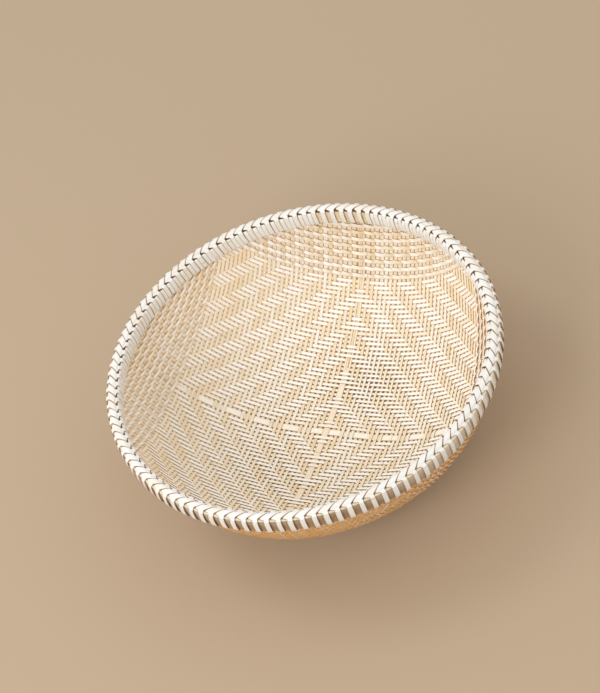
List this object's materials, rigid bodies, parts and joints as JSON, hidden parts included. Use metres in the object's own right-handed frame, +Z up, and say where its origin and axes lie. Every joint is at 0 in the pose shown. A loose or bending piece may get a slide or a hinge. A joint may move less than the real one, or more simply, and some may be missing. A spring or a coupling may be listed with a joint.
{
  "type": "zaru bamboo basket",
  "caption": "Shallow round bamboo basket with a twill-woven bowl, twined side panels and a hooped rim bound with a bamboo strip, for rinsing, draining and serving food.",
  "frame": {"origin": "middle of the flat base, which is the bottom centre of the bounding box", "axes": "+Z up through the mouth of the bowl; +X and +Y along the two families of strips"},
  "size_m": [0.3002, 0.3, 0.106],
  "materials": {
    "base_strips": "split bamboo strips, pale cream and tan, dry satin",
    "panel_strips": "split bamboo strips, tan with pale strands, dry matt",
    "inner_hoop_bamboo": "shaved bamboo strip, satin",
    "outer_hoop_bamboo": "shaved bamboo strip, tan, satin",
    "edge_wrap_strip": "thin shaved bamboo strip, cream white, satin",
    "binding_strip": "thin shaved bamboo strip, cream white, satin"
  },
  "bodies": {
    "root": {"woven_base": "base_strips", "twined_panel_right": "panel_strips", "twined_panel_back": "panel_strips", "twined_panel_left": "panel_strips", "twined_panel_front": "panel_strips", "inner_hoop": "inner_hoop_bamboo", "outer_hoop": "outer_hoop_bamboo", "edge_wrap": "edge_wrap_strip", "rim_binding": "binding_strip"}
  },
  "joints": []
}
